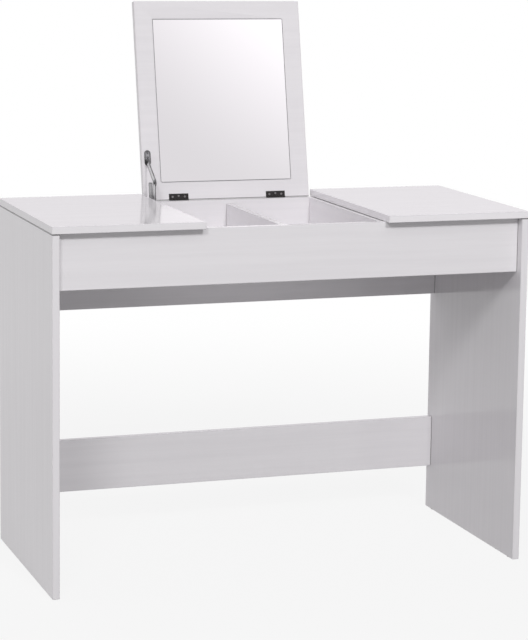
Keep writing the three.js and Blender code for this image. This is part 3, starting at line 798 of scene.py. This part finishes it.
leaves = [node for node in nodes if node.endswith("_leaf")]
for node in leaves:
    dress(node, leaf_steel)
dress("stay_case_bracket", stay_zinc_shaded_copy)
print("metals ready,", len(leaves), "leaves dressed")

# %% [markdown]
# ## Turned pieces
# Screws, cams, rivets, pins and feet are turned work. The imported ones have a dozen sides, which shows close
# up. Each is made again as a surface of two parameters: one runs along the profile from the tip to the
# crown, the other runs round the axis. The radius and the height may depend on both, which gives threads and
# cross slots.

# %% Surface helpers
def round_angles(sides):
    """Even angles once round."""
    return 2 * np.pi * np.arange(sides) / sides


def ring_quads(rows, sides):
    """The faces between rings of points: each joins two neighbours of one ring to the two above them."""
    i, j = np.meshgrid(np.arange(rows - 1), np.arange(sides), indexing="ij")
    after = (j + 1) % sides
    quads = np.stack([i * sides + j, i * sides + after, (i + 1) * sides + after, (i + 1) * sides + j], 2)
    return quads.reshape(-1, 4).tolist()


def new_piece(name, points, faces, sharp_degrees, material):
    """A piece that is smooth, but for edges sharper than an angle."""
    mesh = bpy.data.meshes.new(name)
    mesh.from_pydata(points.tolist(), [], faces)
    mesh.shade_smooth()
    mesh.set_sharp_from_angle(angle=math.radians(sharp_degrees))
    mesh.materials.append(material)
    piece = bpy.data.objects.new(name, mesh)
    bpy.context.scene.collection.objects.link(piece)
    return piece


def face_centre(low, high, axis, end):
    """The middle of a box, moved to its low end (0) or high end (1) along an axis."""
    centre = [(a + b) / 2 for a, b in zip(low, high)]
    centre[axis] = (low, high)[end][axis]
    return Vector(centre)


def stands_for(piece, node):
    """Puts a new piece in the place of a packed one: it hides it and rides on its body."""
    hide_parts(node)
    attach(piece, nodes[node]["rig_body"])


print("surface helpers ready")

# %% [markdown]
# A profile is a list of points, each a radius and a height. Walked at even steps it gives rings that are
# close enough together for threads and slots, and every corner of the profile stays a corner.

# %% Turned surface
turned_sharp = 38


def turned(name, radius, height, centre, facing, material):
    """A closed turned surface. Point (i, j) is at radius[i, j] from the axis, at angle 2 pi j / sides, and
    at height[i, j] along it, first row lowest. A point on the axis closes each end."""
    rows, sides = radius.shape
    angle = round_angles(sides)
    ring = np.stack([radius * np.cos(angle), radius * np.sin(angle), height], 2).reshape(-1, 3)
    ends = np.array([[0, 0, height[0].mean()], [0, 0, height[-1].mean()]])
    turn = np.array(Vector((0, 0, 1)).rotation_difference(Vector(facing)).to_matrix())
    points = np.vstack([ring, ends]) @ turn.T + np.array(centre)
    j, after = np.arange(sides), (np.arange(sides) + 1) % sides
    last = (rows - 1) * sides
    foot = np.stack([np.full(sides, rows * sides), after, j], 1)
    crown = np.stack([np.full(sides, rows * sides + 1), last + j, last + after], 1)
    return new_piece(name, points, ring_quads(rows, sides) + foot.tolist() + crown.tolist(), turned_sharp,
                     material)


def spun(profile, sides):
    """The radii and heights of a profile of [radius, height] points, the same at every side."""
    return np.repeat(profile[:, :1], sides, 1), np.repeat(profile[:, 1:], sides, 1)


def resample(profile, rows):
    """A profile of [radius, height] points, walked at even steps but keeping every corner."""
    profile = np.array(profile, float)
    walked = np.concatenate([[0], np.cumsum(np.linalg.norm(np.diff(profile, axis=0), axis=1))])
    steps = np.union1d(np.linspace(0, walked[-1], rows), walked)
    return np.stack([np.interp(steps, walked, profile[:, k]) for k in (0, 1)], 1)


def soft_step(value, low, high):
    """0 below low, 1 above high, and an S curve between."""
    t = np.clip((value - low) / (high - low), 0, 1)
    return t * t * (3 - 2 * t)


print("turned work ready")

# %% [markdown]
# A cross slot is two short bars that cross on the axis. Its depth is a function of the place on the head:
# full inside either bar, nothing outside both, and a steep wall between.

# %% Cross slot
def cross_slot(radius, sides, width, length, depth, wall):
    """Depth at each point of the head: the larger of two bars, each full where the place is inside its width
    and its length, and falling to zero over the wall."""
    angle = round_angles(sides)
    x, y = np.abs(radius * np.cos(angle)), np.abs(radius * np.sin(angle))
    bars = [soft_step(width / 2 - a + wall / 2, 0, wall) * soft_step(length / 2 - b + wall / 2, 0, wall)
            for a, b in ((x, y), (y, x))]
    return depth * np.maximum(*bars)


print("cross slot ready")

# %% [markdown]
# The screws are countersunk, with a head that sits flush in the leaf. Under the head the shank has a thread,
# a ridge that climbs once round for each pitch. It is hidden in the board, but a screw without a thread
# isn't a screw.

# %% Countersunk screws
screw_sides, shank_rows, cone_rows, crown_rows = 56, 44, 7, 22
head_radius, head_height, shank_radius, tip_radius = 0.0024, 0.0010, 0.0013, 0.0002
crown_land, land_drop, near_axis = 0.0001, 0.00012, 0.00005
thread_pitch, thread_depth = 0.0011, 0.00022
under_head, above_tip = (0.0006, 0.0012), (0.0008, 0.0020)
screw_slot = {"width": 0.0007, "length": 0.0028, "depth": 0.0007, "wall": 0.00016}


def screw(name, node, length, facing, crown, material):
    """A countersunk screw: tip, threaded shank, cone and slotted head, with the crown at a place. The thread
    is a triangle wave of the turn, which is the height in pitches less the share of a round. It fades in
    above the tip and out under the head."""
    shank = resample([[tip_radius, -length + tip_radius], [shank_radius, -length + shank_radius],
                      [shank_radius, -head_height]], shank_rows)
    cone = resample([[shank_radius, -head_height], [head_radius, -land_drop],
                     [head_radius - crown_land, 0.0]], cone_rows)[1:]
    inner = np.linspace(head_radius - crown_land, near_axis, crown_rows)[1:]
    profile = np.vstack([shank, cone, np.stack([inner, 0 * inner], 1)])
    radius, height = spun(profile, screw_sides)
    turn = (height / thread_pitch - round_angles(screw_sides) / (2 * np.pi)) % 1
    ridge = thread_depth * (np.abs(turn * 2 - 1) * 2 - 1)
    on_thread = (soft_step(-height, head_height + under_head[0], head_height + under_head[1])
                 * soft_step(height, -length + above_tip[0], -length + above_tip[1]))
    radius = radius - on_thread * np.maximum(ridge, 0)
    on_head = np.arange(len(profile)) >= len(shank) + len(cone) - 1
    height = height - np.where(on_head[:, None], cross_slot(radius, screw_sides, **screw_slot), 0)
    piece = turned(name, radius, height, crown, facing, material)
    stands_for(piece, node)
    return piece


lid_face_way = lid_turn @ Vector((0, -1, 0))
screws = []
for node in sorted(nodes):
    low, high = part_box(node)
    if "_frame_leaf_screw_" in node:
        screws.append(screw(node + "_turned", node, high.y - low.y, (0, 1, 0), face_centre(low, high, 1, 1),
                            leaf_screw_steel))
    elif "_lid_leaf_screw_" in node or node.startswith("stay_lid_screw_"):
        low, high = lid_box(node)
        steel, slot = ((black_steel, "black_steel") if node.startswith("stay")
                       else (leaf_screw_steel, "zinc_plated_steel"))
        screws.append(screw(node + "_turned", node, high.y - low.y, lid_face_way,
                            on_lid(*face_centre(low, high, 1, 0)), steel))
    elif node.startswith("stay_case_screw_"):
        screws.append(screw(node + "_turned", node, high.x - low.x, (1, 0, 0), face_centre(low, high, 0, 1),
                            screw_steel))
print("made", len(screws), "screws,", sum(len(piece.data.polygons) for piece in screws), "faces")

# %% [markdown]
# A cam is a round zinc drum with a driver's cross in its crown and a raised rim. It turns in a blind bore
# and pulls on the head of a dowel.

# %% Cams
cam_sides, cam_wall_rows, cam_crown_rows = 64, 34, 26
cam_radius, cam_middle, chamfer, shoulder = 0.0075, 0.0001, 0.0005, 0.0008
lip_drop, lip_crest, lip_width, crown_drop = 0.0001, 0.0011, 0.0014, 0.00035
cam_slot = {"width": 0.0020, "length": 0.0080, "depth": 0.0026, "wall": 0.0004}


def cam(node, facing):
    """A drum with chamfered ends and a lip round a sunken crown with a cross slot."""
    low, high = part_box(node)
    facing = Vector(facing)
    reach = (high - low).dot(Vector([abs(v) for v in facing]))
    crown = (low + high) / 2 + facing * reach / 2
    r = cam_radius
    wall = resample([[cam_middle, -reach], [r - chamfer, -reach], [r, -reach + chamfer], [r, -shoulder],
                     [r - chamfer, -lip_drop], [r - lip_crest, 0.0], [r - lip_width, -crown_drop]],
                    cam_wall_rows)
    inner = np.linspace(r - lip_width, cam_middle, cam_crown_rows)[1:]
    profile = np.vstack([wall, np.stack([inner, 0 * inner - crown_drop], 1)])
    radius, height = spun(profile, cam_sides)
    on_crown = np.arange(len(profile)) >= len(wall)
    height = height - np.where(on_crown[:, None], cross_slot(radius, cam_sides, **cam_slot), 0)
    stands_for(turned(node + "_cast", radius, height, crown, facing, cam_zinc), node)


cams = [node for node in nodes if node.endswith("_cam")]
for node in cams:
    side = 1 if node.startswith("left") else -1
    cam(node, (side, 0, 0) if "_top_cam" in node else (0, 1, 0))
print("made", len(cams), "cams")

# %% [markdown]
# The stay turns on black rivets. A rivet's head is a low dome, set by a hammer, so it isn't quite round.

# %% Rivets
rivet_sides, dome_rows = 48, 10
rivet_shank, dome_height, dome_drop, rim_drop, dome_power = 0.0020, 0.0010, 0.65, 0.8, 2.4
rim_waves = ((3, 0.7, 0.012), (7, 0.0, 0.008))


def rivet(node):
    """A shank between two domes. A dome's height falls with a power of the radius. The radius shrinks and
    grows by waves, each with its number in a round, its start and its depth."""
    low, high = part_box(node)
    length = high.x - low.x
    head = (high.y - low.y) / 2
    arc = np.linspace(0.02, 1, dome_rows)
    dome = dome_height * dome_drop * arc ** dome_power
    under, over = dome_height, length - dome_height
    rim_low = dome_height * rim_drop
    profile = np.vstack([
        np.stack([head * arc, dome], 1),
        [[head, rim_low], [head, under], [rivet_shank, under], [rivet_shank, over], [head, over],
         [head, length - rim_low]],
        np.stack([head * arc[::-1], length - dome[::-1]], 1)])
    angle = round_angles(rivet_sides)
    waver = 1 - sum(depth * (1 + np.sin(count * angle + start)) for count, start, depth in rim_waves)
    height = spun(profile, rivet_sides)[1]
    centre = face_centre(low, high, 0, 0)
    if node == "stay_lid_rivet":
        centre = on_lid(*face_centre(*lid_box(node), 0, 0))
    piece = turned(node + "_set", profile[:, :1] * waver, height, centre, (1, 0, 0), black_steel)
    stands_for(piece, node)


rivets = [node for node in nodes if node.endswith("_rivet")]
for node in rivets:
    rivet(node)
print("made", len(rivets), "rivets")

# %% [markdown]
# ## Pressed plates
# The stay's straps and its bracket are stamped from sheet. The press leaves a flat rim and a shallow dish
# inside it, on both sides, which stiffens them. An outline and a path along the middle of the plate are
# enough: each ring of the surface is the outline drawn in towards the nearest point of that path by so many
# millimetres. One could cut the dish with modifiers, but rings that follow the outline keep the rim's width
# the same all round.

# %% Plate outlines
def rounded_polygon(corners, radius, step=0.0012, arc_steps=9):
    """An outline through corners, counterclockwise. Each corner becomes a quadratic curve that starts and
    ends at the radius from it, and the whole is walked at even steps."""
    corners = np.array(corners, float)
    before, after = np.roll(corners, 1, 0) - corners, np.roll(corners, -1, 0) - corners
    start = corners + radius * before / np.linalg.norm(before, axis=1, keepdims=True)
    end = corners + radius * after / np.linalg.norm(after, axis=1, keepdims=True)
    t = np.linspace(0, 1, arc_steps)[None, :, None]
    arcs = (1 - t) ** 2 * start[:, None] + 2 * t * (1 - t) * corners[:, None] + t ** 2 * end[:, None]
    closed = np.vstack([arcs.reshape(-1, 2), arcs[0, :1]])
    walked = np.concatenate([[0], np.cumsum(np.linalg.norm(np.diff(closed, axis=0), axis=1))])
    steps = np.linspace(0, walked[-1], int(walked[-1] / step), endpoint=False)
    return np.stack([np.interp(steps, walked, closed[:, k]) for k in (0, 1)], 1)


def strap_outline(first, last, half_width, arc_steps=20):
    """A strap with round ends: a half circle about each of two pivots, joined by straight sides."""
    run = np.arctan2(*(np.array(last) - first)[::-1])
    arc = np.linspace(-np.pi / 2, np.pi / 2, arc_steps)
    far = np.stack([np.cos(run + arc), np.sin(run + arc)], 1) * half_width + last
    near = np.stack([np.cos(run + np.pi + arc), np.sin(run + np.pi + arc)], 1) * half_width + first
    return np.vstack([far, near])


def nearest_on_path(points, path):
    """The foot of each point on a path of straight legs: the closest of its feet on the legs."""
    start, leg = np.array(path[:-1], float), np.diff(np.array(path, float), axis=0)
    share = np.clip(((points[:, None] - start) * leg).sum(2) / (leg ** 2).sum(1), 0, 1)
    feet = start + share[..., None] * leg
    best = np.argmin(np.linalg.norm(points[:, None] - feet, axis=2), 1)
    return feet[np.arange(len(points)), best]


print("outlines ready")

# %% [markdown]
# The rings start in the dish of one face, climb its slope, cross the flat rim and go over the eased edge, and
# then come back the same way on the other face. The rim attribute marks the flat rim and the edge, where the
# metals paint a dark reflection.

# %% Pressed plate
edge_radius, dish_slope, pressed_sharp = 0.0002, 0.0008, 25


def pressed_plate(name, outline, path, thickness, axes, origin, node, material, dish=0.00025, rim=0.0024):
    """A stamped plate. Point (i, j) is outline point j, drawn in by inset[i] towards the path, at height[i]
    along the plate's normal. Both faces end in a flat polygon inside the dish. The axes are across, along
    and normal."""
    inward = nearest_on_path(outline, path) - outline
    inward /= np.linalg.norm(inward, axis=1, keepdims=True)
    half = np.array([[rim + 2 * dish_slope, dish, 0], [rim + dish_slope, dish, 0], [rim, 0, 1],
                     [edge_radius, 0, 1], [0, edge_radius, 1]])
    inset, height, at_rim = np.vstack([half, half[::-1] * (1, -1, 1) + (0, thickness, 0)]).T
    flat = outline[None] + inward[None] * inset[:, None, None]
    rows, sides = flat.shape[:2]
    local = np.concatenate([flat, np.repeat(height[:, None, None], sides, 1)], 2).reshape(-1, 3)
    points = local @ np.array([tuple(axis) for axis in axes]) + np.array(origin)
    last = (rows - 1) * sides
    faces = ring_quads(rows, sides) + [list(range(sides))[::-1], list(range(last, last + sides))]
    piece = new_piece(name, points, faces, pressed_sharp, material)
    # The rim attribute marks where a dark reflection is painted.
    piece.data.attributes.new("rim", "FLOAT", "POINT").data.foreach_set("value", np.repeat(at_rim, sides))
    stands_for(piece, node)


print("pressed plate ready")

# %% [markdown]
# The two straps lie in planes across X, one behind the other. The lower one has an arm that rises behind the
# pivot, beside the foot of the lid. It is drawn as a plate of its own, a little thinner, so that no two
# faces share a plane. Its corners are given in millimetres behind the strap and along it.

# %% Straps
def side_centre(low, high):
    """The middle of a box, seen along X: its [y, z]."""
    return np.array([(low.y + high.y) / 2, (low.z + high.z) / 2])


case_pivot, elbow, lid_pivot = (side_centre(*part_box("stay_" + place + "_rivet"))
                               for place in ("case", "elbow", "lid"))
across_x = ((0, 1, 0), (0, 0, 1), (1, 0, 0))
strap_half = 0.0075
upper_low, upper_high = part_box("stay_upper_strap")
lower_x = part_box("stay_lower_strap")[0].x
sheet = upper_high.x - upper_low.x
for name, node, first, last, x in (("upper_strap_pressed", "stay_upper_strap", elbow, lid_pivot, upper_low.x),
                                   ("lower_strap_pressed", "stay_lower_strap", case_pivot, elbow, lower_x)):
    pressed_plate(name, strap_outline(first, last, strap_half), [first, last], sheet, across_x, (x, 0, 0),
                  node, strap_zinc_lit_copy)

run = (elbow - case_pivot) / np.linalg.norm(elbow - case_pivot)
behind = np.array([run[1], -run[0]])
arm_corners = [[0, 28], [28.5, 28], [42.5, 60], [42.5, 85], [17.5, 85], [17.5, 60], [0, 42]]
arm_path = [[1, 35], [20, 40], [30, 60], [30, 78]]
arm_corner_radius, thinner = 0.003, 0.0001


def beside_strap(places):
    """Places in millimetres behind and along the lower strap, as [y, z]."""
    places = np.array(places) / 1000
    return case_pivot + places[:, :1] * behind + places[:, 1:] * run


# The arm takes the darker zinc, as painted shade.
pressed_plate("lower_arm_pressed", rounded_polygon(beside_strap(arm_corners), arm_corner_radius),
              beside_strap(arm_path), sheet - 2 * thinner, across_x, (lower_x + thinner, 0, 0),
              "stay_lower_strap", stay_zinc_shaded_copy)
print("straps made, sheet", round(sheet * 1000, 2), "mm")

# %% [markdown]
# The bracket on the lid is a plate with round ends and a lug that stands off it and carries the strap. Both
# are narrower than the straps, so their rims and dishes are a little smaller.

# %% Lid bracket
plate_half, lug_half = 0.007, 0.0075
lug_inset, lug_gap, thinner_lug = 0.0004, 0.0003, 0.0001
small_dish = {"dish": 0.0002, "rim": 0.0020}
bracket_low, bracket_high = lid_box("stay_lid_bracket")
lid_up, lid_through = (tuple(lid_turn @ Vector(axis)) for axis in ((0, 0, 1), (0, 1, 0)))
plate_middle = bracket_low.x + plate_half
foot, head = (plate_middle, bracket_low.z + plate_half), (plate_middle, bracket_high.z - plate_half)
pressed_plate("lid_bracket_pressed", strap_outline(foot, head, plate_half), [foot, head], sheet,
              ((1, 0, 0), lid_up, tuple(lid_face_way)), on_lid(0, bracket_high.y, 0), "stay_lid_bracket",
              stay_zinc_shaded_copy, **small_dish)
lug_pivot = side_centre(*lid_box("stay_lid_rivet"))
lug_end = (bracket_high.y - sheet - lug_half + lug_inset, lug_pivot[1])
pressed_plate("lid_lug_pressed", strap_outline(lug_pivot, lug_end, lug_half - thinner_lug),
              [lug_pivot, lug_end], sheet, (lid_through, lid_up, (1, 0, 0)),
              on_lid(upper_high.x + lug_gap, 0, 0), "stay_lid_bracket", stay_zinc_shaded_copy, **small_dish)
print("lid bracket made")

# %% [markdown]
# The hinge pins are plain round bar with rounded ends: a quarter of an ellipse at each end.

# %% Hinge pins
pin_sides, pin_end_rows, pin_end_height = 32, 8, 0.0004
pins = [node for node in nodes if node.endswith("_hinge_pin")]
for node in pins:
    low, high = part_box(node)
    pin_radius, length = (high.z - low.z) / 2, high.x - low.x
    t = np.linspace(0.05, 1, pin_end_rows) * np.pi / 2
    ends = np.stack([pin_radius * np.sin(t), pin_end_height * (1 - np.cos(t))], 1)
    profile = np.vstack([ends, np.stack([ends[::-1, 0], length - ends[::-1, 1]], 1)])
    stands_for(turned(node + "_round", *spun(profile, pin_sides), face_centre(low, high, 0, 0), (1, 0, 0),
                      screw_steel), node)
print("made", len(pins), "pins")

# %% [markdown]
# The feet are turned plastic: a low round foot with a stem that is driven into the end of the panel. The
# profile below runs from the middle of the sole, round the rim and in to the stem, and up to its tip. The
# stem has barbs, rings that a wave of its height presses in.

# %% Feet
plastic, tree, shader = start_material("glide_plastic")
skin = use_group(tree, cast_group, Vector=placed_vector(tree), Grit=1800.0)
feed(tree, shader.inputs["Base Color"], mix_colour(
    tree, skin["Skin"], (0.66, 0.65, 0.62, 1), (0.56, 0.55, 0.52, 1)))
feed(tree, shader.inputs["Roughness"], calc(tree, "MULTIPLY_ADD", skin["Skin"], 0.2, 0.4))
feed(tree, shader.inputs["Normal"], bump(tree, skin["Skin"], distance=0.00003))

foot_sides, foot_rows, foot_height, stem_radius, tip = 48, 40, 0.0020, 0.0020, 0.0002
barb_depth, barb_pitch, barbs_begin = 0.00025, 0.0012, (0.004, 0.005)
glides = [node for node in nodes if node.endswith("_glide")]
for node in glides:
    low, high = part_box(node)
    r, length = (high.x - low.x) / 2, high.z - low.z
    profile = resample([
        [tip, 0.0], [r - 0.0010, 0.0], [r - 0.0004, 0.0002], [r, 0.0008], [r, foot_height - 0.0003],
        [r - 0.0003, foot_height], [stem_radius + 0.0002, foot_height], [stem_radius, foot_height + 0.0004],
        [stem_radius, length - 0.002], [0.0012, length - 0.0005], [0.0003, length]], foot_rows)
    radius, height = spun(profile, foot_sides)
    barbs = (barb_depth * soft_step(height, *barbs_begin)
             * (0.5 + 0.5 * np.sin(height / barb_pitch * 2 * np.pi)))
    stands_for(turned(node + "_turned", np.maximum(radius - barbs, tip), height,
                      face_centre(low, high, 2, 0), (0, 0, 1), plastic), node)
print("made", len(glides), "feet")

# %% [markdown]
# ## Rounded arrises
# No real edge is perfectly sharp, and the thin bright lines along edges come from that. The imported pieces
# are loose triangles, so their corners are welded together first, and then a narrow bevel rounds each edge.

# %% Round the edges
arrises = {board: 0.0003 for board in [*boards, "mirror_lid"]}
arrises["mirror_glass"] = 0.0004
arrises.update({plate: 0.00012 for plate in [*leaves, "stay_case_bracket"]})
weld_reach, sharp_above = 0.000002, math.radians(30)
for node, width in arrises.items():
    weld = nodes[node].modifiers.new("weld", "WELD")
    weld.merge_threshold = weld_reach
    bevel = nodes[node].modifiers.new("round", "BEVEL")
    bevel.width = width
    bevel.segments = 2
    bevel.limit_method = "ANGLE"
    bevel.angle_limit = sharp_above
    bevel.harden_normals = True
print("rounded the edges of", len(arrises), "pieces")

# %% [markdown]
# ## Closing the file
# The growth of the dressed table's box over the imported model's box is printed, so that the two can be
# compared.

# %% Sizes and finish
low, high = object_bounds()
growth = [round((b - a) * 1000, 3) for a, b in zip([*cad_low, *cad_high], [*low, *high])]
print("grew by", growth, "mm")
